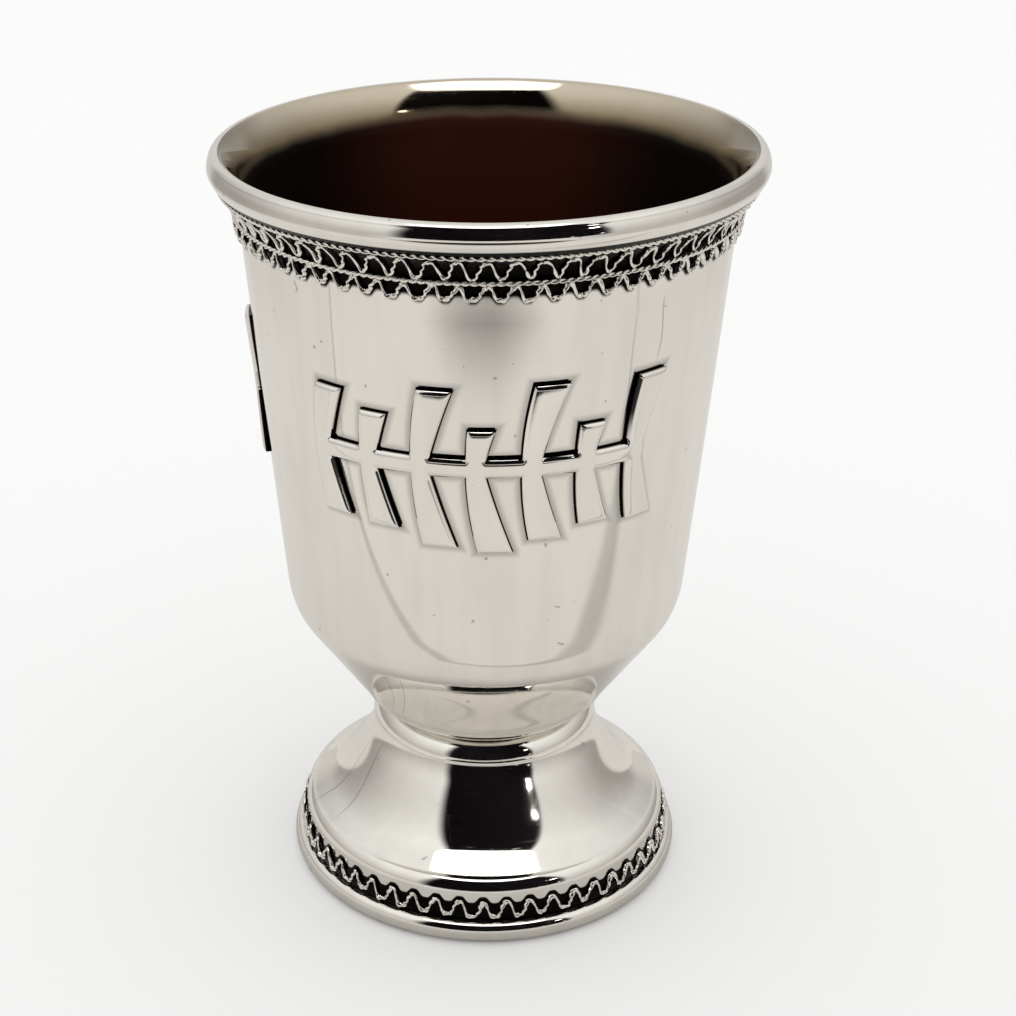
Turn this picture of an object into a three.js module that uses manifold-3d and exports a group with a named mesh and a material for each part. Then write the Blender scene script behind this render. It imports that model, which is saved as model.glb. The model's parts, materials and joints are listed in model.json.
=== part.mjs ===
// A small kiddush cup in sterling silver, 82 mm tall: a spun bowl with a rolled lip,
// a plain collar at the neck and a hollow trumpet foot on a base ring. Two bands of
// filigree wire run round the cup, one under the lip and one on the foot, and two
// cut-out appliques of rows of strokes are soldered to the side of the bowl.
// Millimetres, +Z up, origin on the axis at the plane the cup stands on.
import * as THREE from 'three';
import { mergeVertices } from 'three/addons/utils/BufferGeometryUtils.js';
import Module from 'manifold-3d';

const wasm = await Module();
wasm.setup();

// Driving dimensions
const CUP_HEIGHT = 82;
const LIP_RADIUS = 27.8;
const LIP_ROLL = 0.8;
const WALL = 0.6;
const FLARE_START = { r: 25.05, z: 76.3 };
const SHOULDER_TOP = { r: 21.6, z: 35 };
const CONE_TOP = { r: 20.2, z: 31 };
const CONE_FOOT = { r: 13.9, z: 21.9 };
const BOWL_FLOOR_Z = 21.3;
const NECK_RADIUS = 12.5;
const NECK_TOP_Z = 19.7;
const NECK_BOTTOM_Z = 17.4;
const NECK_BORE = 10.5;
const FOOT_WALL = 0.7;
const FOOT_TOP_RADIUS = 12.2;
const FOOT_EDGE = { r: 19, z: 6.8 };
const FOOT_RIM_RADIUS = 20.35;
const BASE_RADIUS = 22.1;
const BASE_HEIGHT = 3.35;
const BASE_BORE = 19.2;

// Filigree wire, and where its rows lie
const ROPE_HALF = 0.24;
const WIRE_HALF = 0.16;
const WIRE_STANDS = 0.55;
const CLEARANCE = 0.06;
const RIM_LOOPS = 63;
const FOOT_LOOPS = 51;
const TOP_ROPE = { r: 26.8, z: 78.8 };
const MID_ROPE = { r: 25.36, z: 76 };
const UPPER_ROW = { low: 76.6, high: 78.2 };
const LOWER_ROW = { low: 73.9, high: 75.35 };
const FOOT_ROW = { low: 3.62, high: 5.2 };

// Soldered appliques
const APPLIQUE_LOW_Z = 48.1;
const APPLIQUE_HEIGHT = 18.5;
const APPLIQUE_SPAN = Math.PI / 2;
const APPLIQUE_STANDS = 0.8;
const APPLIQUE_GAP = 0.12;
const STROKES = 7;
const STROKE_WIDTH = 3;
const STROKE_LEAN = 2.3;
const STROKE_BEND = 0.5;
const BAR_HEIGHT = 1.2;
const BAR_STANDS = 0.6;
const BAR_STEPS = 14;
const FRONT_ANGLE = -Math.PI / 2;
const SIDE_ANGLE = FRONT_ANGLE - (125 * Math.PI) / 180;

const TURN_SEGMENTS = 44;

const polished = new THREE.MeshStandardMaterial({ color: 0xdbd6ce, metalness: 1, roughness: 0.12 });
const oxidised = new THREE.MeshStandardMaterial({ color: 0xb9b4aa, metalness: 1, roughness: 0.3 });

const group = new THREE.Group();

function addMesh(name, geometry, material) {
  const mesh = new THREE.Mesh(geometry, material);
  mesh.name = name;
  group.add(mesh);
}

function at(r, z) {
  return new THREE.Vector2(r, z);
}

// Points along a cubic curve in the profile plane, ends included
function bend(start, startPull, endPull, end, steps) {
  return new THREE.CubicBezierCurve(start, startPull, endPull, end).getPoints(steps);
}

// Points along a circular arc in the profile plane, angles in degrees from outward
function arc(centre, radius, fromDegrees, toDegrees, steps) {
  const points = [];
  for (let i = 0; i <= steps; i += 1) {
    const angle = THREE.MathUtils.degToRad(fromDegrees + ((toDegrees - fromDegrees) * i) / steps);
    points.push(at(centre.x + radius * Math.cos(angle), centre.y + radius * Math.sin(angle)));
  }
  return points;
}

// A profile of (radius, height) points turned about the cup's axis
function turned(profile, segments = TURN_SEGMENTS) {
  return new THREE.LatheGeometry(profile, segments).rotateX(Math.PI / 2);
}

// Bowl: cone, shoulder, leaning wall, flare and rolled lip, then back down inside
const outerWall = [
  ...bend(at(CONE_TOP.r, CONE_TOP.z), at(20.9, 32), at(21.4, 33.2), at(SHOULDER_TOP.r, SHOULDER_TOP.z), 3),
  at(22.85, 49.3),
  at(24.1, 65.2),
  at(24.72, 73),
  ...bend(at(FLARE_START.r, FLARE_START.z), at(25.4, 78.2), at(27, 78.9), at(27.75, 80.8), 4),
];
const lipCentre = at(LIP_RADIUS - LIP_ROLL, CUP_HEIGHT - LIP_ROLL);
const bowlProfile = [
  at(0, NECK_TOP_Z),
  at(NECK_RADIUS, NECK_TOP_Z),
  at(CONE_FOOT.r, CONE_FOOT.z),
  ...outerWall,
  ...arc(lipCentre, LIP_ROLL, 0, 180, 4),
  ...bend(at(26.15, 80.6), at(25.5, 79.2), at(24.5, 78.2), at(24.4, 75.8), 2),
  at(24.1 - WALL, 65.2),
  at(22.85 - WALL, 49.3),
  at(SHOULDER_TOP.r - WALL, SHOULDER_TOP.z),
  at(CONE_TOP.r - WALL, CONE_TOP.z + WALL / 2),
  at(CONE_FOOT.r - 1.1, BOWL_FLOOR_Z),
  at(0, BOWL_FLOOR_Z),
];
addMesh('bowl', turned(bowlProfile), polished);

// Outer radius of the bowl's wall at a height, straight between the profile's points
function wallRadius(z) {
  let i = 1;
  while (i < outerWall.length - 1 && outerWall[i].y < z) {
    i += 1;
  }
  const below = outerWall[i - 1];
  const above = outerWall[i];
  return below.x + ((above.x - below.x) * (z - below.y)) / (above.y - below.y);
}

// Collar at the neck: a rounded band with a thin bead under it
const collarMiddle = (NECK_TOP_Z + NECK_BOTTOM_Z + 0.9) / 2;
const collarProfile = [
  at(NECK_BORE, NECK_BOTTOM_Z),
  at(NECK_RADIUS - 0.35, NECK_BOTTOM_Z),
  at(NECK_RADIUS, NECK_BOTTOM_Z + 0.3),
  at(NECK_RADIUS - 0.25, NECK_BOTTOM_Z + 0.75),
  at(NECK_RADIUS + 0.1, collarMiddle),
  at(NECK_RADIUS - 0.2, NECK_TOP_Z),
  at(NECK_BORE, NECK_TOP_Z),
  at(NECK_BORE, NECK_BOTTOM_Z),
];
addMesh('neck_collar', turned(collarProfile), polished);

// Foot: a hollow trumpet with a rounded edge above the wall that carries the wire
const footProfile = [
  at(FOOT_TOP_RADIUS - FOOT_WALL, NECK_BOTTOM_Z),
  ...bend(at(FOOT_TOP_RADIUS, NECK_BOTTOM_Z), at(12.2, 12.9), at(15.5, 9.9), at(FOOT_EDGE.r, FOOT_EDGE.z), 7),
  at(19.75, 6.15),
  at(20.1, 5.5),
  at(FOOT_RIM_RADIUS, 4.9),
  at(FOOT_RIM_RADIUS, BASE_HEIGHT),
  at(FOOT_RIM_RADIUS - FOOT_WALL, BASE_HEIGHT),
  at(FOOT_RIM_RADIUS - FOOT_WALL, 4.9),
  ...bend(at(18.5, 6.25), at(15, 9.35), at(11.5, 12.6), at(11.5, 16), 5),
  at(FOOT_TOP_RADIUS - FOOT_WALL, NECK_BOTTOM_Z),
];
addMesh('foot', turned([...footProfile].reverse()), polished);

// Base ring: a heavy half-round ring that the foot stands in
const baseProfile = [
  at(BASE_BORE, 0),
  at(BASE_RADIUS - 1.1, 0),
  at(BASE_RADIUS - 0.25, 0.8),
  at(BASE_RADIUS, 1.75),
  at(BASE_RADIUS - 0.2, 2.8),
  at(BASE_RADIUS - 0.75, BASE_HEIGHT),
  at(BASE_BORE, BASE_HEIGHT),
  at(BASE_BORE, 0),
];
addMesh('base_ring', turned(baseProfile), polished);

// Twisted rope: here a ring of square section stood on its corner
function ropeRing(ring) {
  const section = [
    at(ring.r, ring.z - ROPE_HALF),
    at(ring.r + ROPE_HALF, ring.z),
    at(ring.r, ring.z + ROPE_HALF),
    at(ring.r - ROPE_HALF, ring.z),
    at(ring.r, ring.z - ROPE_HALF),
  ];
  return turned(section);
}
addMesh('rim_rope_top', ropeRing(TOP_ROPE), oxidised);
addMesh('rim_rope_middle', ropeRing(MID_ROPE), oxidised);

// Zigzag wire: a turned ring of wedge section whose segments are lifted and dropped
// by turns, each point following the wall that the wire is soldered to
function zigzagRing(row, loops, radiusAt) {
  const section = [at(0, -WIRE_HALF), at(WIRE_STANDS, 0), at(0, WIRE_HALF), at(0, -WIRE_HALF)];
  const ring = new THREE.LatheGeometry(section.map((p) => at(1 + p.x, p.y)), 2 * loops);
  const position = ring.getAttribute('position');
  const perTurn = section.length;
  for (let i = 0; i < position.count; i += 1) {
    const step = Math.floor(i / perTurn);
    const corner = section[i % perTurn];
    const centre = step % 2 === 0 ? row.low : row.high;
    const angle = (step * Math.PI) / loops;
    const r = radiusAt(centre + corner.y) + CLEARANCE + corner.x;
    position.setXYZ(i, r * Math.sin(angle), centre + corner.y, r * Math.cos(angle));
  }
  return ring.rotateX(Math.PI / 2);
}
addMesh('rim_zigzag_upper', zigzagRing(UPPER_ROW, RIM_LOOPS, wallRadius), oxidised);
addMesh('rim_zigzag_lower', zigzagRing(LOWER_ROW, RIM_LOOPS, wallRadius), oxidised);
addMesh('foot_zigzag', zigzagRing(FOOT_ROW, FOOT_LOOPS, () => FOOT_RIM_RADIUS), oxidised);

// Bends a flat piece, x along, y up and z outward, round the bowl's wall
function wrapped(geometry, centreAngle) {
  const middleRadius = wallRadius(APPLIQUE_LOW_Z + APPLIQUE_HEIGHT / 2);
  const position = geometry.getAttribute('position');
  for (let i = 0; i < position.count; i += 1) {
    const z = APPLIQUE_LOW_Z + APPLIQUE_HEIGHT / 2 + position.getY(i);
    const r = wallRadius(z) + APPLIQUE_GAP + position.getZ(i);
    const angle = centreAngle + position.getX(i) / middleRadius;
    position.setXYZ(i, r * Math.cos(angle), r * Math.sin(angle), z);
  }
  return geometry;
}

function asSolid(geometry) {
  geometry.deleteAttribute('normal');
  geometry.deleteAttribute('uv');
  const merged = mergeVertices(geometry, 1e-5);
  const vertProperties = new Float32Array(merged.getAttribute('position').array);
  const triVerts = new Uint32Array(merged.getIndex().array);
  return new wasm.Manifold(new wasm.Mesh({ numProp: 3, vertProperties, triVerts }));
}

function asGeometry(solid) {
  const mesh = solid.getMesh();
  const geometry = new THREE.BufferGeometry();
  geometry.setAttribute('position', new THREE.BufferAttribute(mesh.vertProperties, 3));
  geometry.setIndex(new THREE.BufferAttribute(mesh.triVerts, 1));
  return geometry;
}

// One leaning stroke, broad at its end and narrow where it meets the bar
function strokeOutline(along, up) {
  const foot = up * BAR_HEIGHT * 0.2;
  const tip = up * (APPLIQUE_HEIGHT / 2);
  const half = STROKE_WIDTH / 2;
  const middle = (foot + tip) / 2;
  const outline = new THREE.Shape();
  outline.moveTo(along - half * 0.55, foot);
  outline.lineTo(along + half * 0.55, foot);
  outline.lineTo(along + half + STROKE_LEAN / 2 + STROKE_BEND, middle);
  outline.lineTo(along + half + STROKE_LEAN, tip);
  outline.lineTo(along - half + STROKE_LEAN, tip - up * 0.9);
  outline.lineTo(along - half * 0.9 + STROKE_LEAN / 2 + STROKE_BEND, middle);
  return outline;
}

function applique(centreAngle) {
  const width = APPLIQUE_SPAN * wallRadius(APPLIQUE_LOW_Z + APPLIQUE_HEIGHT / 2);
  const pitch = (width - STROKE_WIDTH - STROKE_LEAN) / (STROKES - 1);
  const barWidth = width - STROKE_LEAN;
  const bar = new THREE.BoxGeometry(barWidth, BAR_HEIGHT, BAR_STANDS, BAR_STEPS, 1, 1);
  bar.translate(0, 0, BAR_STANDS / 2);
  let solid = asSolid(wrapped(bar, centreAngle));
  for (let i = 0; i < STROKES; i += 1) {
    const along = (i - (STROKES - 1) / 2) * pitch - STROKE_LEAN / 2;
    for (const up of [-1, 1]) {
      const stroke = new THREE.ExtrudeGeometry(strokeOutline(along, up), {
        depth: APPLIQUE_STANDS,
        bevelEnabled: false,
      });
      solid = solid.add(asSolid(wrapped(stroke, centreAngle)));
    }
  }
  return asGeometry(solid);
}
addMesh('applique_front', applique(FRONT_ANGLE), polished);
addMesh('applique_side', applique(SIDE_ANGLE), polished);

export default group;
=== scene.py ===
import json

import bpy
import bmesh
import numpy as np
from mathutils import Matrix

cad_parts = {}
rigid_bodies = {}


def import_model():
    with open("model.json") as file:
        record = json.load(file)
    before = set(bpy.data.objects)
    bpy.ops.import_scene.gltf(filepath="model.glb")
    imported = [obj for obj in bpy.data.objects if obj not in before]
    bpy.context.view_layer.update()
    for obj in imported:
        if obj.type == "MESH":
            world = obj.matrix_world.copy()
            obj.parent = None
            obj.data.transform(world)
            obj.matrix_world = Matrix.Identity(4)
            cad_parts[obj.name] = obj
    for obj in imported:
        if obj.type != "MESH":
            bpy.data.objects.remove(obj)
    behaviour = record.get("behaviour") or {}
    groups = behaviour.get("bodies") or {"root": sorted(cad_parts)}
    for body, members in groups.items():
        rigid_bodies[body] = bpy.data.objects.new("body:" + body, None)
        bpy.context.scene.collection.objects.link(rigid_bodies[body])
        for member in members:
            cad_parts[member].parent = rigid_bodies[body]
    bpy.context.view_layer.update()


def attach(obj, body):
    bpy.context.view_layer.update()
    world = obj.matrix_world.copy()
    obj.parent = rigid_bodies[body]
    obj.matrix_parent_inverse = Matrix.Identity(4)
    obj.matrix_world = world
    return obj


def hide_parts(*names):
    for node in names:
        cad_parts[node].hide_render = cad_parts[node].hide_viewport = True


for spare in list(bpy.data.objects):
    bpy.data.objects.remove(spare)
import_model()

# ---------------------------------------------------------------- viewpoint
# A hand-held camera about 20 cm from the cup, looking down at the lip from the front.
# It is turned a little, and its lens is shifted slightly to place the cup in the frame.
MM = 0.001
scene = bpy.context.scene
scene.view_settings.view_transform = "Standard"
CAMERA_PLACE = (0, -187.96 * MM, 132.05 * MM)
CAMERA_YAW, CAMERA_PITCH, CAMERA_ROLL = np.radians([-2.639, 27.437, -0.879])
ahead = np.array([
    np.sin(CAMERA_YAW) * np.cos(CAMERA_PITCH),
    np.cos(CAMERA_YAW) * np.cos(CAMERA_PITCH),
    -np.sin(CAMERA_PITCH),
])
level = np.cross(ahead, [0, 0, 1])
level /= np.linalg.norm(level)
upright = np.cross(level, ahead)
right = np.cos(CAMERA_ROLL) * level + np.sin(CAMERA_ROLL) * upright
above = np.cos(CAMERA_ROLL) * upright - np.sin(CAMERA_ROLL) * level
camera = bpy.data.objects.new("camera", bpy.data.cameras.new("camera"))
scene.collection.objects.link(camera)
turned = Matrix(np.column_stack([right, above, -ahead]).tolist()).to_4x4()
camera.matrix_world = Matrix.Translation(CAMERA_PLACE) @ turned
camera.data.lens = 68.066
camera.data.sensor_width = 36
camera.data.shift_x = 0.10
camera.data.shift_y = 0.06
camera.data.clip_start = 0.01
camera.data.dof.use_dof = False
scene.camera = camera


# ---------------------------------------------------------------- table and room
# A pale matt table under a white tent. The table is not part of the cup.
# Dark and bright cards stand where the polish mirrors a person, a window and lamps, and show nowhere else.
def link(tree, source, target):
    """Joins one socket to another."""
    tree.links.new(source, target)


def new_material(name):
    """A material, its node tree and its Principled shader."""
    made = bpy.data.materials.new(name)
    made.use_nodes = True
    tree = made.node_tree
    return made, tree, tree.nodes["Principled BSDF"]


def new_object(name, vertices, faces, material, smooth=True):
    """A mesh object at the origin, shaded smooth with sharp edges kept sharp."""
    mesh = bpy.data.meshes.new(name)
    mesh.from_pydata(vertices.tolist(), [], faces)
    mesh.shade_smooth()
    if smooth:
        mesh.set_sharp_from_angle(angle=np.radians(38))
    made = bpy.data.objects.new(name, mesh)
    scene.collection.objects.link(made)
    mesh.materials.append(material)
    return made


def math_node(tree, operation, first, second=0.0, third=None, clamp=False):
    """One Math node: each input is a socket or a number."""
    node = tree.nodes.new("ShaderNodeMath")
    node.operation = operation
    node.use_clamp = clamp
    for slot, value in zip(node.inputs, (first, second, third)):
        if isinstance(value, bpy.types.NodeSocket):
            link(tree, value, slot)
        elif value is not None:
            slot.default_value = value
    return node.outputs[0]


def ramp_node(tree, value, low, high, from_value=0.0, to_value=1.0):
    """Smooth step of a value between two limits."""
    node = tree.nodes.new("ShaderNodeMapRange")
    node.interpolation_type = "SMOOTHSTEP"
    link(tree, value, node.inputs["Value"])
    node.inputs["From Min"].default_value = low
    node.inputs["From Max"].default_value = high
    node.inputs["To Min"].default_value = from_value
    node.inputs["To Max"].default_value = to_value
    return node.outputs["Result"]


def mix_node(tree, share, first, second):
    """Mixes two colours by a share."""
    node = tree.nodes.new("ShaderNodeMix")
    node.data_type = "RGBA"
    link(tree, share, node.inputs["Factor"])
    for slot, value in ((node.inputs[6], first), (node.inputs[7], second)):
        if isinstance(value, bpy.types.NodeSocket):
            link(tree, value, slot)
        else:
            slot.default_value = (*value, 1)
    return node.outputs[2]


def noise_node(tree, place, scale, detail=3.0, stretch=None):
    """Noise over a place, stretched along the axes if asked."""
    if stretch:
        mapping = tree.nodes.new("ShaderNodeMapping")
        mapping.inputs["Scale"].default_value = stretch
        link(tree, place, mapping.inputs["Vector"])
        place = mapping.outputs["Vector"]
    node = tree.nodes.new("ShaderNodeTexNoise")
    node.inputs["Scale"].default_value = scale
    node.inputs["Detail"].default_value = detail
    link(tree, place, node.inputs["Vector"])
    return node.outputs["Fac"]


def low_room(tree, heading):
    """Tone of the room just above the table, by heading from -1 at the camera to 1 behind the cup."""
    darker = ramp_node(tree, heading, -0.3, 0.45)
    tone = mix_node(tree, darker, (0.52, 0.505, 0.485), (0.36, 0.345, 0.325))
    return mix_node(tree, ramp_node(tree, heading, 0.74, 0.87), tone, (0.63, 0.615, 0.59))


# The table looks plain and bright to the camera. Glossy rays see darker tones with painted shade: a dark
# line along a sheet edge, a dark patch where the photographer stands, and the cup's painted shadow round
# its foot.
TABLE_SEEN = (0.97, 0.97, 0.965)
TABLE_NEAR = (0.735, 0.715, 0.685)
TABLE_FAR = (0.76, 0.735, 0.70)
table_cloth, tree, shader = new_material("pale_table")
split = tree.nodes.new("ShaderNodeSeparateXYZ")
link(tree, tree.nodes.new("ShaderNodeTexCoord").outputs["Object"], split.inputs["Vector"])
side, front = split.outputs["X"], split.outputs["Y"]
swell = math_node(tree, "SINE", math_node(tree, "MULTIPLY_ADD", side, 34.0, -0.9))
sheet_edge = math_node(tree, "MULTIPLY_ADD", swell, 9 * MM, -48 * MM)
past_edge = math_node(tree, "SUBTRACT", sheet_edge, front)
beyond = ramp_node(tree, past_edge, -1 * MM, 2 * MM)
bulge_begins = ramp_node(tree, side, 10 * MM, 65 * MM)
bulge_ends = ramp_node(tree, side, 75 * MM, 120 * MM, 1.0, 0.0)
bulge = math_node(tree, "MULTIPLY", bulge_begins, bulge_ends)
gap_wide = math_node(tree, "MULTIPLY_ADD", bulge, 8 * MM, 2.0 * MM)
gap_shade = math_node(tree, "DIVIDE", math_node(tree, "ABSOLUTE", past_edge), gap_wide)
gap_shade = ramp_node(tree, gap_shade, 0.3, 1.0, 0.72, 1.0)
# Painted shade: a dark patch on the table where the photographer stands, seen only in the polish.
far = math_node(tree, "SUBTRACT", front, -330 * MM)
away = math_node(tree, "SQRT", math_node(
    tree, "ADD", math_node(tree, "MULTIPLY", side, side), math_node(tree, "MULTIPLY", far, far)))
person_shade = ramp_node(tree, away, 148 * MM, 212 * MM, 0.0, 1.0)
# Painted shadow of the cup on the table round its foot, seen only in the polish.
round_cup = math_node(tree, "SQRT", math_node(
    tree, "ADD", math_node(tree, "MULTIPLY", side, side), math_node(tree, "MULTIPLY", front, front)))
cup_shade = ramp_node(tree, round_cup, 22 * MM, 38 * MM, 0.74, 1.0)
shades = math_node(tree, "MULTIPLY", math_node(tree, "MULTIPLY", gap_shade, person_shade), cup_shade)
mirrored = mix_node(tree, beyond, TABLE_NEAR, TABLE_FAR)
mirrored = mix_node(tree, shades, (0.02, 0.018, 0.017), mirrored)
distance = ramp_node(tree, round_cup, 120 * MM, 450 * MM)
heading = math_node(tree, "DIVIDE", front, round_cup)
distance = math_node(tree, "MULTIPLY", distance, ramp_node(tree, heading, -0.92, -0.65))
mirrored = mix_node(tree, distance, mirrored, low_room(tree, heading))
rays = tree.nodes.new("ShaderNodeLightPath")
tone = mix_node(tree, rays.outputs["Is Glossy Ray"], TABLE_SEEN, mirrored)
link(tree, tone, shader.inputs["Base Color"])
shader.inputs["Roughness"].default_value = 0.9
shader.inputs["Specular IOR Level"].default_value = 0.1
TABLE_RADIUS, TABLE_SIDES, TABLE_HEIGHT = 3, 96, -0.05 * MM
angles = np.linspace(0, 2 * np.pi, TABLE_SIDES, endpoint=False)
disc = np.column_stack([
    TABLE_RADIUS * np.cos(angles),
    TABLE_RADIUS * np.sin(angles),
    np.full(TABLE_SIDES, TABLE_HEIGHT),
])
table = new_object("table", disc, [tuple(range(TABLE_SIDES))], table_cloth)

world = bpy.data.worlds.new("room")
scene.world = world
world.use_nodes = True
tree = world.node_tree
backdrop = tree.nodes["Background"]
rays = tree.nodes.new("ShaderNodeLightPath")
split = tree.nodes.new("ShaderNodeSeparateXYZ")
link(tree, tree.nodes.new("ShaderNodeTexCoord").outputs["Generated"], split.inputs["Vector"])
ceiling = math_node(tree, "MULTIPLY_ADD", split.outputs["Z"], 1.35, 0.0, True)
behind = ramp_node(tree, split.outputs["Y"], -0.7, 0.8)
high_room = mix_node(tree, behind, (0.98, 0.975, 0.955), (0.765, 0.76, 0.745))
tent = mix_node(tree, ceiling, low_room(tree, split.outputs["Y"]), high_room)
tone = mix_node(tree, rays.outputs["Is Glossy Ray"], (1.0, 1.0, 1.0), tent)
link(tree, tone, backdrop.inputs["Color"])


CARD_STEPS = 48
CARD_CENTRE = 40 * MM


def room_card(name, azimuth, elevation, distance, colour, strength,
              soft_sides, soft_ends, corner, widen=1.0):
    """A curved card that faces the cup: azimuth and elevation ranges in degrees at one distance,
    with edges that fade over so many degrees and rounded corners. Widen keeps a high card's width."""
    rows_of = CARD_STEPS + 1
    across, steps = np.meshgrid(np.linspace(*azimuth, rows_of), np.linspace(*elevation, rows_of))
    centre = np.mean(azimuth)
    grow = np.minimum(np.cos(np.radians(elevation[0])) / np.cos(np.radians(steps)), widen)
    a, e = np.radians(centre + (across - centre) * grow - 90), np.radians(steps)
    rows = np.stack([np.cos(e) * np.cos(a), np.cos(e) * np.sin(a), np.sin(e)], -1) * distance
    rows = rows.reshape(-1, 3) + [0, 0, CARD_CENTRE]
    starts = [i * rows_of + j for i in range(CARD_STEPS) for j in range(CARD_STEPS)]
    faces = [(k, k + 1, k + rows_of + 1, k + rows_of) for k in starts]
    made, tree, shader = new_material(name)
    left_side, right_side = across - azimuth[0], azimuth[1] - across
    from_sides = np.minimum(left_side, right_side)
    soft_side = np.where(left_side < right_side, *soft_sides)
    from_ends = np.minimum(steps - elevation[0], elevation[1] - steps)
    from_corner = corner - np.hypot(np.maximum(corner - from_sides, 0), np.maximum(corner - from_ends, 0))
    fade = np.minimum(np.minimum(from_sides / soft_side, from_ends / soft_ends), from_corner / soft_ends)
    fade = np.clip(fade, 0, 1).reshape(-1).astype(np.float32)
    veil = tree.nodes.new("ShaderNodeAttribute")
    veil.attribute_name = "veil"
    link(tree, ramp_node(tree, veil.outputs["Fac"], 0.0, 1.0), shader.inputs["Alpha"])
    shader.inputs["Base Color"].default_value = (*colour, 1)
    shader.inputs["Specular IOR Level"].default_value = 0.0
    shader.inputs["Roughness"].default_value = 1.0
    shader.inputs["Emission Color"].default_value = (*colour, 1)
    shader.inputs["Emission Strength"].default_value = strength
    card = new_object(name, rows, faces, made)
    card.data.attributes.new("veil", "FLOAT", "POINT").data.foreach_set("value", fade)
    card.visible_camera = False
    card.visible_shadow = False
    card.visible_diffuse = False


room_card("camera_and_hands", (-41, 51), (-12, 59.5), 2.0, (0.004, 0.003, 0.004), 0, (10, 5), 1.5, 2)
room_card("window_above", (-46, 51), (58, 86), 1.95, (1.0, 0.99, 0.97), 1.5, (6, 6), 1.5, 10, 1.7)
room_card("lamp_large", (41, 46.5), (25, 28), 1.9, (1.0, 0.98, 0.95), 8.0, (1, 1), 1, 1.5)
room_card("lamp_small", (43.5, 45.5), (3, 5), 1.9, (1.0, 0.98, 0.95), 4.0, (1, 1), 1, 1)
room_card("lamp_low", (31.5, 33.5), (0, 1.5), 1.9, (1.0, 0.98, 0.95), 3.0, (1, 1), 1, 0.8)


# ---------------------------------------------------------------- bowl
# Spun sterling silver, 0.6 mm thick: cone, rounded shoulder, leaning wall, flare and a rolled lip.
# Polished outside, tarnished brown inside, and blackened behind the wire bands near the lip. Painted shade
# darkens the inside towards its left and right sides and the cone towards the neck.
def bezier(first, pull_a, pull_b, last, steps):
    """Cubic curve: (1-t)^3 a + 3(1-t)^2 t b + 3(1-t) t^2 c + t^3 d."""
    t = np.linspace(0, 1, steps + 1)[:, None]
    a, b, c, d = (np.array(p, float) for p in (first, pull_a, pull_b, last))
    return (1 - t) ** 3 * a + 3 * (1 - t) ** 2 * t * b + 3 * (1 - t) * t ** 2 * c + t ** 3 * d


def straight(first, last, steps=1):
    """Straight run of points from one place to another, both ends kept."""
    t = np.linspace(0, 1, steps + 1)[:, None]
    return np.array(first, float) * (1 - t) + np.array(last, float) * t


def profile_of(*runs):
    """Joins runs of (r, z) points in millimetres and drops repeated points."""
    rows = np.vstack([np.atleast_2d(run) for run in runs])
    fresh = np.r_[True, np.hypot(*np.diff(rows, axis=0).T) > 1e-6]
    return rows[fresh]


TURNS = 384


def lathe(name, profile, material):
    """Turns (r, z) rows round Z: x = r cos a, y = r sin a. Rows on the axis become one pole each."""
    poles = profile[0, 0] < 1e-9
    rings = profile[1:-1] if poles else profile
    a = np.arange(TURNS) * 2 * np.pi / TURNS
    x = rings[:, :1] * np.cos(a)
    y = rings[:, :1] * np.sin(a)
    z = np.repeat(rings[:, 1:], TURNS, axis=1)
    vertices = np.stack([x, y, z], -1).reshape(-1, 3)
    count = len(rings)
    i = np.arange(count - 1 if poles else count)[:, None] * TURNS
    k = (i + TURNS) % (count * TURNS)
    j = np.arange(TURNS)[None, :]
    n = (j + 1) % TURNS
    faces = np.stack(np.broadcast_arrays(i + j, i + n, k + n, k + j), -1).reshape(-1, 4).tolist()
    if poles:
        low, high, last = len(vertices), len(vertices) + 1, (count - 1) * TURNS
        vertices = np.vstack([vertices, [0, 0, profile[0, 1]], [0, 0, profile[-1, 1]]])
        around = np.arange(TURNS)
        after = (around + 1) % TURNS
        faces += np.column_stack([after, around, np.full(TURNS, low)]).tolist()
        faces += np.column_stack([last + around, last + after, np.full(TURNS, high)]).tolist()
    made = new_object(name, vertices * MM, faces, material)
    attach(made, "root")
    return made


wall_up = np.vstack([
    bezier((20.2, 31), (20.9, 32), (21.4, 33.2), (21.6, 35), 14),
    bezier((21.6, 35), (22.85, 49.3), (24.1, 65.2), (24.72, 73), 24)[1:],
    straight((24.72, 73), (25.05, 76.3), 4)[1:],
    bezier((25.05, 76.3), (25.35, 78.3), (27.5, 78.8), (27.8, 80.348), 18)[1:],
])


def arc(centre, radius, first, last, steps):
    """Arc of a circle in the (r, z) plane between two angles in degrees, 0 pointing outward."""
    a = np.radians(np.linspace(first, last, steps + 1))
    return np.column_stack([centre[0] + radius * np.cos(a), centre[1] + radius * np.sin(a)])


bowl_profile = profile_of(
    (0, 19.7),
    bezier((12.0, 19.7), (12.5, 20.2), (13.2, 20.6), (13.6, 21.3), 6),
    bezier((13.6, 21.3), (13.75, 21.5), (13.8, 21.7), (13.9, 21.9), 3),
    straight((13.9, 21.9), (20.2, 31), 10),
    wall_up,
    arc((25.3, 80.348), 2.5, 0, 31, 8),
    arc((26.8, 81.25), 0.75, 31, 136, 14),
    arc((31.517, 76.7), 7.3, 136, 176, 22),
    bezier((24.25, 77.1), (24.22, 76.8), (24.25, 76.3), (24.22, 75.8), 5)[1:],
    straight((24.22, 75.8), (23.5, 65.2), 6),
    straight((23.5, 65.2), (22.25, 49.3), 8),
    straight((22.25, 49.3), (21, 35), 8),
    bezier((21, 35), (20.8, 33), (20.2, 32.2), (19.6, 31.3), 8),
    straight((19.6, 31.3), (12.8, 21.3), 8),
    (0, 21.3),
)


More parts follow.
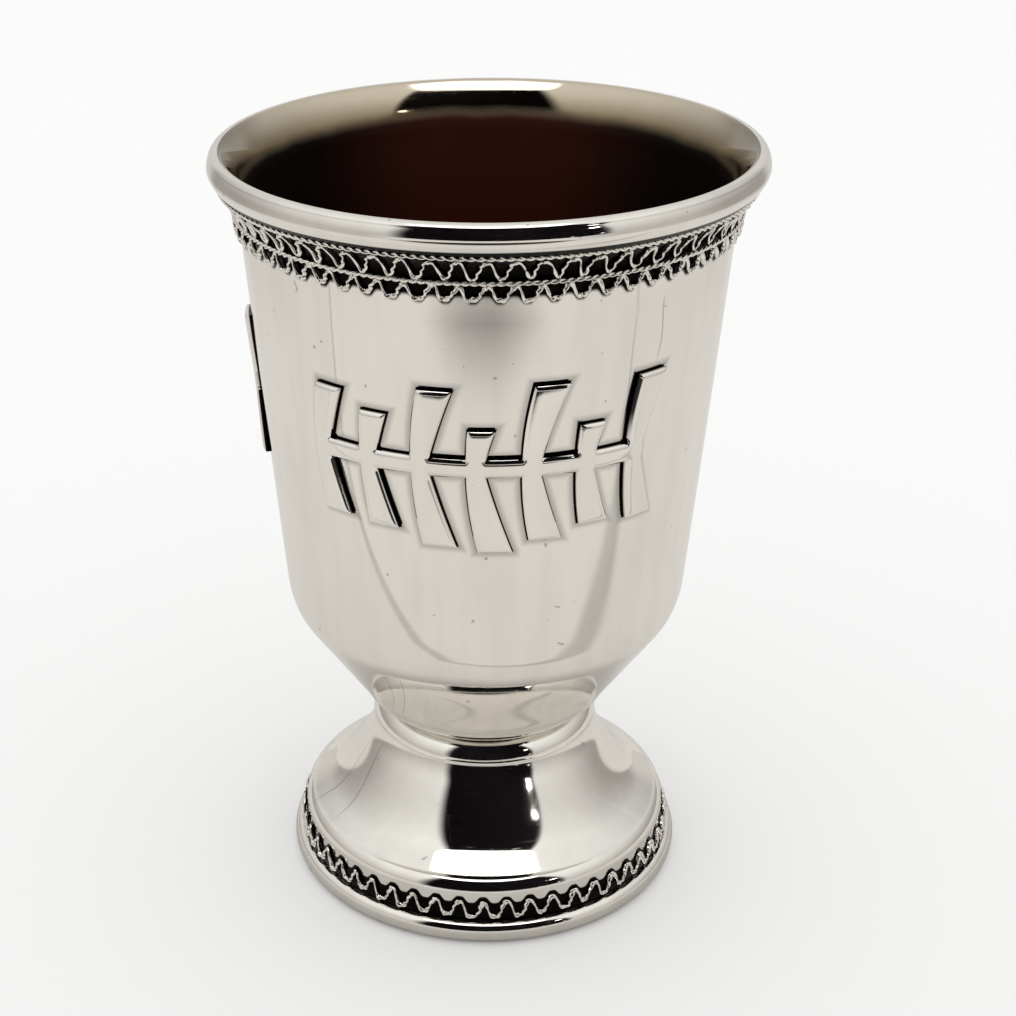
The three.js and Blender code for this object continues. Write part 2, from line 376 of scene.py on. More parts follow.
def wear_group():
    """Polished metal in use: a place in, roughness and bump height of smudges and hair scratches out."""
    group = bpy.data.node_groups.new("polish_wear", "ShaderNodeTree")
    group.interface.new_socket("Place", in_out="INPUT", socket_type="NodeSocketVector")
    group.interface.new_socket("Roughness", in_out="OUTPUT", socket_type="NodeSocketFloat")
    group.interface.new_socket("Height", in_out="OUTPUT", socket_type="NodeSocketFloat")
    group.interface.new_socket("Tone", in_out="OUTPUT", socket_type="NodeSocketFloat")
    start = group.nodes.new("NodeGroupInput")
    end = group.nodes.new("NodeGroupOutput")
    place = start.outputs["Place"]
    smudge = noise_node(group, place, 90.0, 4.0)
    cloud = ramp_node(group, smudge, 0.35, 0.75, 0.035, 0.085)
    hair_a = noise_node(group, place, 1.0, 2.0, (9000.0, 500.0, 260.0))
    hair_b = noise_node(group, place, 1.0, 2.0, (400.0, 400.0, 9000.0))
    line_a = ramp_node(group, hair_a, 0.66, 0.74)
    line_b = ramp_node(group, hair_b, 0.66, 0.74)
    lines = math_node(group, "MAXIMUM", line_a, line_b)
    rough = math_node(group, "MULTIPLY_ADD", lines, 0.10, cloud)
    wave = noise_node(group, place, 140.0, 2.0)
    depth = math_node(group, "MULTIPLY_ADD", lines, -0.15, wave)
    film = noise_node(group, place, 75.0, 6.0)
    streak = noise_node(group, place, 1.0, 3.0, (420.0, 420.0, 45.0))
    film = math_node(group, "ADD", ramp_node(group, film, 0.3, 0.7), ramp_node(group, streak, 0.35, 0.7))
    tone = math_node(group, "MULTIPLY_ADD", film, -0.045, 1.0)
    pits = noise_node(group, place, 1300.0, 0.0)
    pits = ramp_node(group, pits, 0.845, 0.87, 1.0, 0.6)
    link(group, rough, end.inputs["Roughness"])
    link(group, depth, end.inputs["Height"])
    link(group, math_node(group, "MULTIPLY", tone, pits), end.inputs["Tone"])
    return group


POLISH_WEAR = wear_group()
SILVER = (0.93, 0.903, 0.852)
OXIDE_AND_SHADE = (0.006, 0.005, 0.0045)


def silver_finish(tree, shader):
    """Warm polished silver with worn polish. Gives back its place, roughness and colour sockets."""
    place = tree.nodes.new("ShaderNodeTexCoord").outputs["Object"]
    wear = tree.nodes.new("ShaderNodeGroup")
    wear.node_tree = POLISH_WEAR
    link(tree, place, wear.inputs["Place"])
    bumps = tree.nodes.new("ShaderNodeBump")
    bumps.inputs["Strength"].default_value = 0.02
    bumps.inputs["Distance"].default_value = 0.1 * MM
    link(tree, wear.outputs["Height"], bumps.inputs["Height"])
    link(tree, bumps.outputs["Normal"], shader.inputs["Normal"])
    link(tree, wear.outputs["Roughness"], shader.inputs["Roughness"])
    colour = mix_node(tree, wear.outputs["Tone"], OXIDE_AND_SHADE, SILVER)
    link(tree, colour, shader.inputs["Base Color"])
    shader.inputs["Metallic"].default_value = 1.0
    return place, wear.outputs["Roughness"], colour


def fine_line_group():
    """One fine line on a turned piece: its turn from the front and its height go in with the line's
    two ends, and a mark from 0 to 1 comes out. s = (z - z0) / (z1 - z0), turn = t0 + (t1 - t0) s."""
    group = bpy.data.node_groups.new("fine_line", "ShaderNodeTree")
    for label in ("Turn", "Height", "Turn Low", "Turn High", "Low", "High", "Half"):
        group.interface.new_socket(label, in_out="INPUT", socket_type="NodeSocketFloat")
    group.interface.new_socket("Mark", in_out="OUTPUT", socket_type="NodeSocketFloat")
    start = group.nodes.new("NodeGroupInput").outputs
    end = group.nodes.new("NodeGroupOutput").inputs
    climb = math_node(group, "SUBTRACT", start["Height"], start["Low"])
    share = math_node(group, "DIVIDE", climb, math_node(group, "SUBTRACT", start["High"], start["Low"]))
    lean = math_node(group, "SUBTRACT", start["Turn High"], start["Turn Low"])
    line = math_node(group, "MULTIPLY_ADD", lean, share, start["Turn Low"])
    sway = math_node(group, "SINE", math_node(group, "MULTIPLY", share, 5.0))
    bend = math_node(group, "MULTIPLY", sway, 0.012)
    gap = math_node(group, "SUBTRACT", start["Turn"], math_node(group, "ADD", line, bend))
    gap = math_node(group, "DIVIDE", math_node(group, "ABSOLUTE", gap), start["Half"])
    begun = ramp_node(group, share, 0.0, 0.25)
    ended = ramp_node(group, share, 0.8, 1.0, 1.0, 0.0)
    within = math_node(group, "MULTIPLY", begun, ended)
    solid = ramp_node(group, gap, 0.3, 1.0, 1.0, 0.0)
    link(group, math_node(group, "MULTIPLY", solid, within), end["Mark"])
    return group


FINE_LINE = fine_line_group()


def lay_fine_lines(tree, split, colour, tint, lines):
    """Lays fine lines of one tint over a colour: (turn low, turn high) in degrees from the front,
    (low, high) in millimetres, and half width in degrees."""
    toward = math_node(tree, "MULTIPLY", split.outputs["Y"], -1.0)
    turn = math_node(tree, "ARCTAN2", split.outputs["X"], toward)
    for turns, heights, half in lines:
        node = tree.nodes.new("ShaderNodeGroup")
        node.node_tree = FINE_LINE
        node.inputs["Turn Low"].default_value, node.inputs["Turn High"].default_value = np.radians(turns)
        node.inputs["Low"].default_value, node.inputs["High"].default_value = np.array(heights) * MM
        node.inputs["Half"].default_value = np.radians(half)
        link(tree, turn, node.inputs["Turn"])
        link(tree, split.outputs["Z"], node.inputs["Height"])
        share = math_node(tree, "MULTIPLY", node.outputs["Mark"], tint[3])
        colour = mix_node(tree, share, colour, tint[:3])
    return colour


def loops_node(tree, place, loops, low, high, phase=0.0):
    """Height of a round wave of so many loops round the axis, between two heights in metres."""
    split = tree.nodes.new("ShaderNodeSeparateXYZ")
    link(tree, place, split.inputs["Vector"])
    turn = math_node(tree, "ARCTAN2", split.outputs["Y"], split.outputs["X"])
    wave = math_node(tree, "SINE", math_node(tree, "MULTIPLY_ADD", turn, float(loops), phase))
    height = ramp_node(tree, wave, -1.0, 1.0, low, high)
    return height, split


RIM_LOOPS = 63
bowl_silver, tree, shader = new_material("bowl_silver")
place, rough, colour = silver_finish(tree, shader)
scallop, split = loops_node(tree, place, RIM_LOOPS, 74.05 * MM, 74.75 * MM)
height = split.outputs["Z"]
inside = tree.nodes.new("ShaderNodeAttribute")
inside.attribute_name = "inside"
over_scallop = math_node(tree, "SUBTRACT", height, scallop)
band_low = ramp_node(tree, over_scallop, -0.42 * MM, 0.02 * MM)
band_high = ramp_node(tree, height, 79.4 * MM, 79.55 * MM, 1.0, 0.0)
band = math_node(tree, "MULTIPLY", band_low, band_high)
outside = math_node(tree, "SUBTRACT", 1.0, inside.outputs["Fac"])
outside_of_bowl = outside
band = math_node(tree, "MULTIPLY", band, outside)
mottle = noise_node(tree, place, 160.0, 3.0)
edge = math_node(tree, "MULTIPLY_ADD", mottle, 0.8 * MM, height)
deep = ramp_node(tree, edge, 78.3 * MM, 80.0 * MM, 1.0, 0.0)
flare = ramp_node(tree, edge, 79.0 * MM, 82.2 * MM)
# Painted shade: the brown inside turns near black towards the left and right sides.
inside_side_painted_shade = ramp_node(tree, math_node(tree, "ABSOLUTE", split.outputs["X"]), 5 * MM, 20 * MM)
brown = mix_node(tree, inside_side_painted_shade, (0.045, 0.008, 0.004), (0.004, 0.002, 0.001))
khaki = mix_node(tree, flare, (0.30, 0.235, 0.145), (0.62, 0.55, 0.44))
# Painted shade: the khaki flare darkens towards the left and right sides.
flare_side_painted_shade = ramp_node(tree, math_node(tree, "ABSOLUTE", split.outputs["X"]), 23 * MM, 27.5 * MM, 0.0, 0.85)
khaki = mix_node(tree, flare_side_painted_shade, khaki, (0.05, 0.035, 0.018))
tarnish_and_side_shade = mix_node(tree, deep, khaki, brown)
inner = inside.outputs["Fac"]
# Painted shade: the cone is darkened towards the neck, where less light reaches. The same near-black
# serves for real oxide and for painted shade.
neck_recess_painted_shade = ramp_node(tree, height, 22 * MM, 31 * MM, 0.16, 0.0)
colour = mix_node(tree, neck_recess_painted_shade, colour, OXIDE_AND_SHADE)
# Thin dark lines laid into the wall's colour at listed turns and heights.
WALL_DARK_LINES = [
    ((41, 42.5), (65.5, 73), 0.35),
    ((-47, -45.5), (72.2, 73.6), 0.5),
]
colour = lay_fine_lines(tree, split, colour, (*OXIDE_AND_SHADE, 0.35), WALL_DARK_LINES)
metal = mix_node(tree, inner, colour, tarnish_and_side_shade)
metal = mix_node(tree, band, metal, OXIDE_AND_SHADE)
BOWL_METAL = (tree, metal, shader)
crust = math_node(tree, "MULTIPLY", inner, deep)
link(tree, math_node(tree, "SUBTRACT", 1.0, crust), shader.inputs["Metallic"])
shader.inputs["Specular IOR Level"].default_value = 0.12
rougher = math_node(tree, "MULTIPLY_ADD", crust, 0.4, rough)
rougher = math_node(tree, "MULTIPLY_ADD", band, 0.3, rougher)
link(tree, rougher, shader.inputs["Roughness"])
bowl = lathe("bowl_spun", bowl_profile, bowl_silver)
ROWS_PAST_TOP = 2
top_row = int(np.argmax(bowl_profile[:, 1]))
ring_inside = np.arange(len(bowl_profile)) >= top_row + ROWS_PAST_TOP
turned_rows = np.repeat(ring_inside[1:-1], TURNS)
marks = np.concatenate([turned_rows, [False, True]]).astype(np.float32)
bowl.data.attributes.new("inside", "FLOAT", "POINT").data.foreach_set("value", marks)
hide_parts("bowl")

# ---------------------------------------------------------------- neck collar
# Turned silver collar soldered between bowl and foot: a groove, a round roll and a thin bead under it.
plain_silver, tree, shader = new_material("plain_silver")
silver_finish(tree, shader)
collar_profile = profile_of(
    (10.5, 16.6),
    arc((12.25, 17.05), 0.33, -90, 80, 8),
    arc((10.0, 16.78), 2.6, 14, 58, 14),
    (10.5, 19.6),
)
collar = lathe("neck_collar_turned", collar_profile, plain_silver)
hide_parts("neck_collar")

# ---------------------------------------------------------------- foot
# Spun silver trumpet, 0.7 mm thick, with a rounded edge and a short upright wall for the wire.
# The wall is blackened behind the wire.
FOOT_LOOPS = 51
foot_silver, tree, shader = new_material("foot_silver")
place, rough, colour = silver_finish(tree, shader)
scallop, split = loops_node(tree, place, FOOT_LOOPS, 4.6 * MM, 5.35 * MM)
height = split.outputs["Z"]
band = ramp_node(tree, math_node(tree, "SUBTRACT", scallop, height), -0.08 * MM, 0.08 * MM)
# Thin dark lines laid into the foot's colour at listed turns and heights.
FOOT_DARK_LINES = [
    ((-61, -63.5), (6.8, 15.8), 0.7),
    ((-76, -75), (6.2, 14.5), 0.7),
]
# Painted highlights: bright glint lines laid into the foot's colour.
FOOT_PAINTED_GLINTS = [
    ((-65, -43), (9.8, 14.3), 0.5),
    ((65, 52), (7.2, 11.5), 0.5),
]
colour = lay_fine_lines(tree, split, colour, (*OXIDE_AND_SHADE, 0.30), FOOT_DARK_LINES)
colour = lay_fine_lines(tree, split, colour, (0.99, 0.98, 0.96, 0.6), FOOT_PAINTED_GLINTS)
metal = mix_node(tree, band, colour, OXIDE_AND_SHADE)
link(tree, metal, shader.inputs["Base Color"])
link(tree, math_node(tree, "MULTIPLY_ADD", band, 0.3, rough), shader.inputs["Roughness"])
foot_profile = profile_of(
    bezier((11.9, 17.4), (12.0, 16.4), (12.4, 15.5), (13.0, 14.6), 10),
    bezier((13.0, 14.6), (14.4, 12.5), (15.7, 9.8), (17.6, 8.4), 24),
    straight((17.6, 8.4), (19.819, 7.002), 5),
    arc((18.644, 5.384), 2.0, 54, 12, 14),
    straight((20.6, 5.8), (20.85, 2.55), 4),
    straight((20.85, 2.55), (19.5, 3.35)),
    straight((19.5, 3.35), (19.3, 4.9), 2),
    bezier((19.3, 4.9), (19.2, 5.3), (18.8, 5.7), (18.3, 6.2), 4),
    bezier((18.3, 6.2), (15, 9.1), (11.5, 12.4), (11.4, 16), 18),
    (11.4, 17.4),
)
foot = lathe("foot_spun", foot_profile[::-1], foot_silver)
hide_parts("foot")

# ---------------------------------------------------------------- base ring
# Heavy half-round silver ring that the foot stands in, soldered to its lower edge.
base_profile = profile_of(
    (19.2, 0),
    straight((19.2, 0), (20.9, 0), 2),
    bezier((20.9, 0), (21.8, 0.05), (22.1, 0.65), (22.1, 1.25), 12),
    bezier((22.1, 1.25), (22.1, 1.85), (21.8, 2.45), (21.3, 2.45), 12),
    straight((21.3, 2.45), (20.4, 2.45), 2),
    straight((20.4, 2.45), (20.3, 3.35)),
    straight((20.3, 3.35), (19.2, 3.35)),
)
base = lathe("base_ring_turned", base_profile, plain_silver)
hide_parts("base_ring")


# ---------------------------------------------------------------- twisted ropes
# Two silver strands twisted together, bent to a ring and soldered round the bowl: one under the lip
# and one between the two rows of loops. Blackened in the twists and rubbed bright outside.
def tube(centres, halves, twist, sides=8, thick=1.0):
    """Closed wire along centres: each section is an ellipse of two half widths turned by a twist.
    Gives vertices, faces, and how far out each vertex faces, from 0 to 1."""
    count = len(centres)
    along = np.roll(centres, -1, 0) - np.roll(centres, 1, 0)
    along /= np.linalg.norm(along, axis=1)[:, None]
    out = centres * [1, 1, 0]
    out /= np.linalg.norm(out, axis=1)[:, None]
    out -= along * (out * along).sum(1)[:, None]
    out /= np.linalg.norm(out, axis=1)[:, None]
    side = np.cross(along, out)
    round_ = np.arange(sides) * 2 * np.pi / sides
    wide, thin = (half * np.broadcast_to(thick, (count,))[:, None] for half in halves)
    turn = np.broadcast_to(twist, (count,))[:, None]
    p = wide * np.cos(round_) * np.cos(turn) - thin * np.sin(round_) * np.sin(turn)
    q = wide * np.cos(round_) * np.sin(turn) + thin * np.sin(round_) * np.cos(turn)
    vertices = centres[:, None] + p[..., None] * out[:, None] + q[..., None] * side[:, None]
    i = np.arange(count)[:, None] * sides
    k = (i + sides) % (count * sides)
    j = np.arange(sides)[None, :]
    n = (j + 1) % sides
    faces = np.stack(np.broadcast_arrays(i + j, i + n, k + n, k + j), -1).reshape(-1, 4)
    facing = np.clip(0.5 + 0.5 * p / max(halves), 0, 1)
    return vertices.reshape(-1, 3), faces, facing.reshape(-1)


def wire_object(name, parts, material, slot, *nodes):
    """Joins closed wires to one piece, faces outward, with the proud attribute kept."""
    vertices, faces, proud, start = [], [], [], 0
    for points, quads, facing in parts:
        vertices.append(points)
        faces.append(quads + start)
        proud.append(facing)
        start += len(points)
    made = new_object(name, np.vstack(vertices) * MM, np.vstack(faces).tolist(), material, False)
    shell = bmesh.new()
    shell.from_mesh(made.data)
    bmesh.ops.recalc_face_normals(shell, faces=shell.faces)
    shell.to_mesh(made.data)
    shell.free()
    values = np.concatenate(proud).astype(np.float32)
    made.data.attributes.new("proud", "FLOAT", "POINT").data.foreach_set("value", values)
    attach(made, "root")
    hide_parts(*nodes)
    return made


wire_silver, tree, shader = new_material("wire_silver")
proud = tree.nodes.new("ShaderNodeAttribute")
proud.attribute_name = "proud"
place = tree.nodes.new("ShaderNodeTexCoord").outputs["Object"]
grime = noise_node(tree, place, 500.0, 2.0)
rubbed = math_node(tree, "MULTIPLY_ADD", grime, 0.2, proud.outputs["Fac"])
bright = ramp_node(tree, rubbed, 0.15, 0.45)
link(tree, mix_node(tree, bright, OXIDE_AND_SHADE, SILVER), shader.inputs["Base Color"])
link(tree, ramp_node(tree, bright, 0.0, 1.0, 0.55, 0.18), shader.inputs["Roughness"])
shader.inputs["Metallic"].default_value = 1.0


def rope_ring(radius, height, strand, offset, twists, steps=12, sides=8):
    """Two strands round each other: r = R + o cos(n a + s), z = H + o sin(n a + s), s = 0 or pi."""
    a = np.arange(abs(twists) * steps) * 2 * np.pi / (abs(twists) * steps)
    parts = []
    for start in (0, np.pi):
        turn = twists * a + start
        r = radius + offset * np.cos(turn)
        centres = np.column_stack([r * np.cos(a), r * np.sin(a), height + offset * np.sin(turn)])
        points, faces, _ = tube(centres, (strand, strand), 0.0, sides)
        out = (np.hypot(points[:, 0], points[:, 1]) - radius) / (strand + offset)
        parts.append((points, faces, np.clip(0.5 + 0.5 * out, 0, 1) ** 2.2))
    return parts


TOP_ROPE = (26.75, 78.75)
MIDDLE_ROPE = (25.38, 76.0)
wire_object("rim_rope_top_twisted", rope_ring(*TOP_ROPE, 0.14, 0.125, -96),
            wire_silver, "filigree", "rim_rope_top")
wire_object("rim_rope_middle_twisted", rope_ring(*MIDDLE_ROPE, 0.13, 0.115, 100),
            wire_silver, "filigree", "rim_rope_middle")


# ---------------------------------------------------------------- zigzag wires
# Flattened silver wire, twisted until its edges look cut with tiny steps, bent by hand to loops and
# soldered on edge: two rows between and under the ropes, and one row on the foot's ledge.
def zigzag_ring(loops, low, high, radius_at, halves, round_, twists, seed, steps=60):
    """Wire on the wall: z = mid + half (sin x + b cos 2x), with hand-made unevenness and small
    steps on the rising legs."""
    count = loops * steps
    rng = np.random.default_rng(seed)
    a = np.arange(count) * 2 * np.pi / count
    waves = np.arange(5, 90)
    weights = rng.normal(size=(2, len(waves))) / np.sqrt(len(waves))
    drift = (weights[0][:, None] * np.sin(np.outer(waves, a) + 7 * weights[1][:, None])).sum(0)
    shift = (weights[1][:, None] * np.cos(np.outer(waves, a) + 5 * weights[0][:, None])).sum(0)
    x = loops * a + 0.3 * drift
    wave = np.sin(x) + 0.08 * np.sin(3 * x) + round_ * np.cos(2 * x)
    rising = np.clip(np.cos(x), 0, 1)
    z = (low + high) / 2 + (high - low) / 2 * wave + 0.08 * shift + 0.07 * rising * np.sin(9 * x)
    r = radius_at(z) + 0.03 * np.sin(5 * x)
    slide = 0.09 / r * rising * np.cos(9 * x)
    centres = np.column_stack([r * np.cos(a + slide), r * np.sin(a + slide), z])
    thick = 1 + 0.18 * np.sin(3 * x + 4 * shift)
    return [tube(centres, halves, twists * loops * a, 8, thick)]


def wall_radius(z):
    """Outside radius of the bowl at a height in millimetres."""
    return np.interp(z, wall_up[:, 1], wall_up[:, 0])


wire_object("rim_zigzag_upper_bent",
            zigzag_ring(RIM_LOOPS, 76.4, 78.45, lambda z: wall_radius(z) + 0.3,
                        (0.21, 0.14), 0.12, 1, 3),
            wire_silver, "filigree", "rim_zigzag_upper")
wire_object("rim_zigzag_lower_bent",
            zigzag_ring(RIM_LOOPS, 74.2, 75.65, lambda z: wall_radius(z) + 0.3,
                        (0.27, 0.15), -0.16, 1, 5),
            wire_silver, "filigree", "rim_zigzag_lower")
wire_object("foot_zigzag_bent",
            zigzag_ring(FOOT_LOOPS, 2.95, 4.8, lambda z: 21.1 - 0.077 * (z - 2.55),
                        (0.27, 0.15), -0.05, 1, 9),
            wire_silver, "filigree", "foot_zigzag")


# ---------------------------------------------------------------- soldered plates
# Two flat silver plates, cut out as rows of leaning strokes on a bar, 0.75 mm proud of the wall, with
# rounded upper edges. The solder line round each is blackened.
PLATE_LOW, PLATE_TALL, PLATE_PROUD = 48.1, 18.5, 0.75
STROKES, STROKE_WIDE, STROKE_LEAN, STROKE_BEND = 7, 3.4, 2.0, 0.5
BAR_HALF, BAR_PAST_STROKES = 0.95, 0.8
EDGE_WIDE, EDGE_DROP = 0.45, 0.25
CLIMB_ROWS = 14
REACH_ABOVE = (0.62, 0.28, 2.8, -2.8)
REACH_BELOW = (0.85, 0.15, 1.3, 0.3)
plate_middle = PLATE_LOW + PLATE_TALL / 2
plate_wide = np.pi / 2 * wall_radius(plate_middle)
pitch = (plate_wide - STROKE_WIDE - STROKE_LEAN) / (STROKES - 1)


def stroke_reach(k, up):
    """Share of the full height that stroke k climbs: a + b cos(c k + d), above and below the bar."""
    mean, swing, rate, shift = REACH_ABOVE if up > 0 else REACH_BELOW
    return mean + swing * np.cos(rate * k + shift)


def stroke_edges(t):
    """Left and right edge of a stroke at a share of its length, as offsets along the wall."""
    half = STROKE_WIDE / 2
    first, pull, last = (1 - t) ** 2, 2 * (1 - t) * t, t ** 2
    left = first * (-half * 0.5) + pull * (-half * 0.75 + STROKE_BEND) + last * (STROKE_LEAN - half)
    right = first * (half * 0.6) + pull * (half * 0.95 + STROKE_BEND) + last * (STROKE_LEAN + half)
    return left, right


def plate_grid():
    """Flat outline of the plate as a grid: columns follow the strokes, rows climb from the bar."""
    bevels = np.array([0, 0.1, 0.25, EDGE_WIDE])
    inner = np.linspace(EDGE_WIDE, STROKE_WIDE * 0.5, 4)[1:]
    across = np.concatenate([bevels, inner]) / STROKE_WIDE
    across = np.concatenate([across, 1 - across[::-1][1:]])
    climb = np.concatenate([np.linspace(0, 1, CLIMB_ROWS), [0.25, 0.1, 0.0]])
    bar_rows = np.array([0, 0.35, 0.65, 0.83, BAR_HALF])
    return across, climb, bar_rows


def plate_mesh():
    """Vertices (along, up), quads, and the border edges of the flat plate."""
    across, climb, bar_rows = plate_grid()
    points, quads, known = [], [], {}

    def corner(along, up):
        key = (round(along, 5), round(up, 5))
        if key not in known:
            known[key] = len(points)
            points.append((along, up))
        return known[key]

    def patch(columns_at, rows):
        for low, high in zip(rows[:-1], rows[1:]):
            a, b = columns_at(low), columns_at(high)
            for i in range(len(a) - 1):
                under = (corner(a[i], low), corner(a[i + 1], low))
                over = (corner(b[i + 1], high), corner(b[i], high))
                quads.append(under + over)

    top = PLATE_TALL / 2
    order = np.arange(STROKES) - (STROKES - 1) / 2
    starts = order * pitch - STROKE_LEAN / 2

    def stroke_columns(start):
        def at(up):
            left, right = stroke_edges((abs(up) - BAR_HALF) / (top - BAR_HALF))
            return start + left + (right - left) * across
        return at

    def stroke_rows(k, up):
        reach = BAR_HALF + (top - BAR_HALF) * stroke_reach(k, up)
        even = BAR_HALF + (reach - EDGE_WIDE - BAR_HALF) * climb[:CLIMB_ROWS]
        return np.concatenate([even, reach - climb[CLIMB_ROWS:]])

    bar_columns = []
    for start in starts:
        bar_columns.append(stroke_columns(start)(BAR_HALF))
    gaps = [np.linspace(a[-1], b[0], 8)[1:-1] for a, b in zip(bar_columns[:-1], bar_columns[1:])]
    run = [bar_columns[0]]
    for gap, columns in zip(gaps, bar_columns[1:]):
        run += [gap, columns]
    run = np.concatenate(run)
    rows = np.concatenate([-bar_rows[::-1], bar_rows[1:]])
    patch(lambda up: run, rows)
    for k, start in zip(order, starts):
        patch(stroke_columns(start), stroke_rows(k, 1))
        patch(stroke_columns(start), -stroke_rows(k, -1)[::-1])
    points = np.array(points)
    quads = np.array(quads)
    edges = np.concatenate([quads[:, [0, 1]], quads[:, [1, 2]], quads[:, [2, 3]], quads[:, [3, 0]]])
    back = {(b, a) for a, b in edges.tolist()}
    border = np.array([e for e in edges.tolist() if tuple(e) not in back])
    return points, quads, border


def near_border(points, border_points, border):
    """Distance from each point to the closest border edge."""
    a, b = border_points[border[:, 0]], border_points[border[:, 1]]
    span = b - a
    t = ((points[:, None] - a) * span).sum(-1) / (span ** 2).sum(-1)
    close = a + np.clip(t, 0, 1)[..., None] * span
    return np.linalg.norm(points[:, None] - close, axis=-1).min(1)


def plate(name, node, centre):
    """Wraps the plate on the wall: angle = centre + along / R, and raises it with rounded edges."""
    points, quads, border = plate_mesh()
    gap = near_border(points, points, border)
    rise = PLATE_PROUD - EDGE_DROP * (1 - np.clip(gap / EDGE_WIDE, 0, 1)) ** 2.2
    rim = np.unique(border)
    to_new = {old: i for i, old in enumerate(rim.tolist())}
    size, ring = len(points), len(rim)
    flat = np.vstack([points, points[rim], points[rim], points])
    height = np.concatenate([rise, np.full(ring, 0.22), np.full(ring, -0.1), np.full(size, -0.25)])
    faces = quads.tolist()
    for a, b in border.tolist():
        i, j = to_new[a], to_new[b]
        faces.append((b, a, size + i, size + j))
        faces.append((size + j, size + i, size + ring + i, size + ring + j))
        faces.append((size + ring + j, size + ring + i, size + 2 * ring + a, size + 2 * ring + b))
    faces += (quads[:, ::-1] + size + 2 * ring).tolist()
    radius = wall_radius(plate_middle + flat[:, 1]) + height
    angle = centre + flat[:, 0] / wall_radius(plate_middle)
    vertices = np.column_stack([radius * np.cos(angle), radius * np.sin(angle), plate_middle + flat[:, 1]])
    made = new_object(name, vertices * MM, faces, plate_silver)
    proud = np.clip(height / PLATE_PROUD, 0, 1).astype(np.float32)
    made.data.attributes.new("proud", "FLOAT", "POINT").data.foreach_set("value", proud)
    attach(made, "root")
    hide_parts(node)
    return made


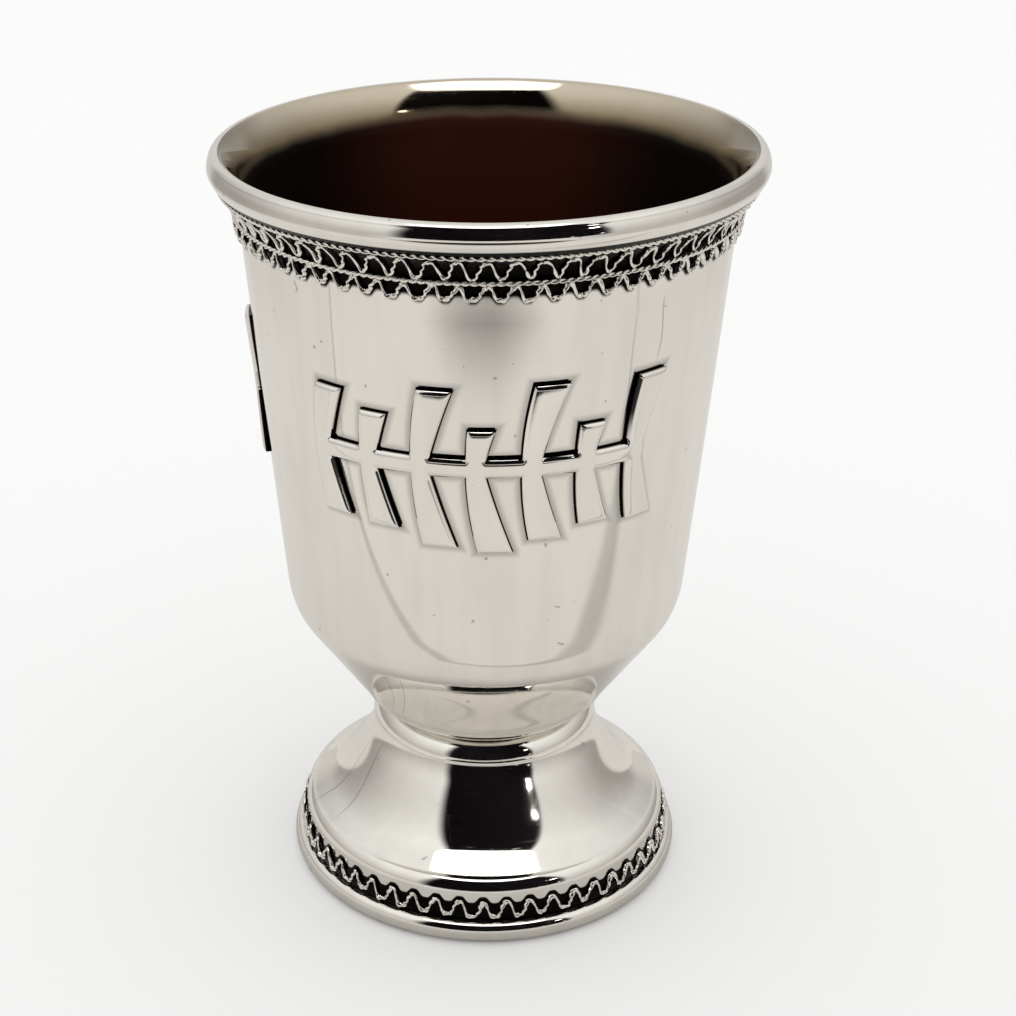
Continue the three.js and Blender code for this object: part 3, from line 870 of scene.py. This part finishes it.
def halo_group():
    """Oxide line left round a soldered plate, with a soft painted shade round it: a place in, darkness
    from 0 to 1 out.
    gap = min(max(|x| - w, |z| - h) of the nearest stroke, the same of the bar), in millimetres."""
    group = bpy.data.node_groups.new("plate_halo", "ShaderNodeTree")
    for label in ("Turn", "Height", "Centre"):
        group.interface.new_socket(label, in_out="INPUT", socket_type="NodeSocketFloat")
    group.interface.new_socket("Dark", in_out="OUTPUT", socket_type="NodeSocketFloat")
    start = group.nodes.new("NodeGroupInput").outputs
    end = group.nodes.new("NodeGroupOutput").inputs

    def calc(*words):
        return math_node(group, *words)

    turn = calc("WRAP", calc("SUBTRACT", start["Turn"], start["Centre"]), np.pi, -np.pi)
    along = calc("MULTIPLY", turn, float(wall_radius(plate_middle)))
    up = calc("ABSOLUTE", calc("MULTIPLY_ADD", start["Height"], 1000.0, -plate_middle))
    top = PLATE_TALL / 2
    t = calc("DIVIDE", calc("SUBTRACT", up, BAR_HALF), top - BAR_HALF, None, True)
    sides = []
    for share in (0, 1):
        a, b, c = (stroke_edges(at)[share] for at in (0.0, 0.5, 1.0))
        curve = calc("MULTIPLY_ADD", t, 2 * (a + c - 2 * b), 4 * b - 3 * a - c)
        sides.append(calc("MULTIPLY_ADD", t, curve, a))
    middle = calc("MULTIPLY", calc("ADD", *sides), 0.5)
    half = calc("MULTIPLY", calc("SUBTRACT", sides[1], sides[0]), 0.5)
    shifted = calc("SUBTRACT", calc("ADD", along, STROKE_LEAN / 2), middle)
    index = calc("ROUND", calc("DIVIDE", shifted, pitch))
    last = (STROKES - 1) / 2
    index = calc("MINIMUM", calc("MAXIMUM", index, -last), last)
    reaches = []
    for mean, swing, rate, shift in (REACH_BELOW, REACH_ABOVE):
        swung = calc("COSINE", calc("MULTIPLY_ADD", index, rate, shift))
        swing_height = swing * (top - BAR_HALF)
        mean_height = BAR_HALF + mean * (top - BAR_HALF)
        reaches.append(calc("MULTIPLY_ADD", swung, swing_height, mean_height))
    above = calc("GREATER_THAN", start["Height"], plate_middle * MM)
    tips = calc("MULTIPLY_ADD", calc("SUBTRACT", reaches[1], reaches[0]), above, reaches[0])
    beside = calc("ABSOLUTE", calc("SUBTRACT", shifted, calc("MULTIPLY", index, pitch)))
    stroke_gap = calc("MAXIMUM", calc("SUBTRACT", beside, half), calc("SUBTRACT", up, tips))
    bar_long = last * pitch + BAR_PAST_STROKES
    bar_beside = calc("ABSOLUTE", calc("ADD", along, STROKE_LEAN / 2))
    bar_gap = calc("MAXIMUM", calc("SUBTRACT", bar_beside, bar_long), calc("SUBTRACT", up, BAR_HALF))
    gap = calc("MINIMUM", stroke_gap, bar_gap)
    line = ramp_node(group, gap, 0.08, 0.24, 1.0, 0.0)
    # Painted shade: a soft darkening of the wall round the plate, beyond the oxide line.
    soft_painted_shade = ramp_node(group, gap, 0.1, 1.0, 0.42, 0.0)
    link(group, calc("MAXIMUM", line, soft_painted_shade), end["Dark"])
    return group


plate_silver, tree, shader = new_material("plate_silver")
_, _, colour = silver_finish(tree, shader)
proud = tree.nodes.new("ShaderNodeAttribute")
proud.attribute_name = "proud"
clean = ramp_node(tree, proud.outputs["Fac"], 0.34, 0.48)
link(tree, mix_node(tree, clean, OXIDE_AND_SHADE, colour), shader.inputs["Base Color"])
FRONT = -np.pi / 2
SIDE = FRONT - np.radians(125)
plate("applique_front_cut", "applique_front", FRONT)
plate("applique_side_cut", "applique_side", SIDE)
HALO = halo_group()
tree, metal, shader = BOWL_METAL
place = tree.nodes.new("ShaderNodeTexCoord").outputs["Object"]
split = tree.nodes.new("ShaderNodeSeparateXYZ")
link(tree, place, split.inputs["Vector"])
turn = math_node(tree, "ARCTAN2", split.outputs["Y"], split.outputs["X"])
darks = []
for centre in (FRONT, SIDE):
    halo = tree.nodes.new("ShaderNodeGroup")
    halo.node_tree = HALO
    halo.inputs["Centre"].default_value = centre
    link(tree, turn, halo.inputs["Turn"])
    link(tree, split.outputs["Z"], halo.inputs["Height"])
    darks.append(halo.outputs["Dark"])
# The bowl darkens round each plate: an oxide line at the solder and a soft painted shade beyond it.
dark = math_node(tree, "MULTIPLY", math_node(tree, "MAXIMUM", *darks), outside_of_bowl)
link(tree, mix_node(tree, dark, metal, OXIDE_AND_SHADE), shader.inputs["Base Color"])
